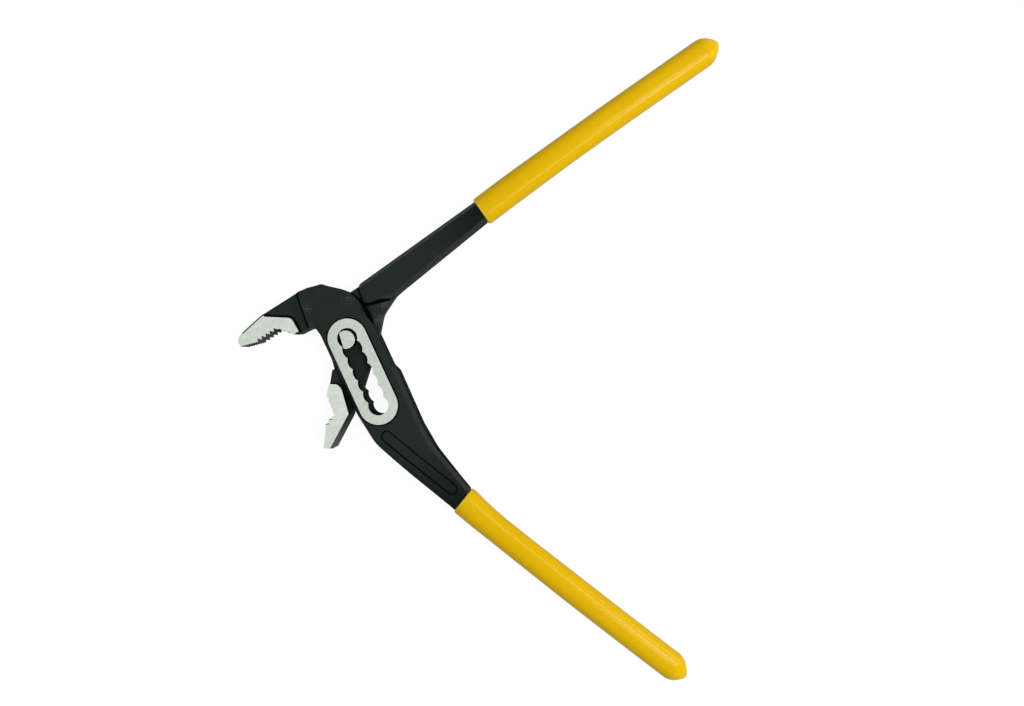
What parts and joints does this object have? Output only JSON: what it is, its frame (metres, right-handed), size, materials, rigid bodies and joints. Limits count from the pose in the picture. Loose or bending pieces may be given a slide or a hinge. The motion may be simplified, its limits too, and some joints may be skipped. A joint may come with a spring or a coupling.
{
  "type": "water pump pliers",
  "caption": "Box-joint water pump pliers with a scalloped adjusting slot, toothed jaws, a sliding pivot pin and dipped yellow grips.",
  "frame": {"origin": "middle of the tool's box in X and Y, wide open at the first seat, on the plane it lies on", "axes": "+Z out of the front face, along the pivot pin; +Y along the slot, from its last seat to its first; +X from the jaws towards the handles"},
  "size_m": [0.251, 0.2582, 0.013],
  "materials": {
    "forged_black": "satin",
    "bright_steel": "ground",
    "yellow_vinyl": "satin gloss"
  },
  "bodies": {
    "slotted_arm": {"slotted_arm": "forged_black", "slotted_arm_grip": "yellow_vinyl"},
    "pivot_pin": {"pivot_pin": "bright_steel"},
    "inner_arm": {"inner_arm": "forged_black", "inner_arm_grip": "yellow_vinyl"}
  },
  "joints": [
    {"name": "pin_slide", "type": "slide", "parent": "slotted_arm", "child": "pivot_pin", "axis": [0, -1, 0], "range_m": [0, 0.0317]},
    {"name": "arm_pivot", "type": "hinge", "parent": "pivot_pin", "child": "inner_arm", "pos_m": [-0.08172, 0.07243, 0.0065], "axis": [0, 0, -1], "range_deg": [0, 72]}
  ]
}
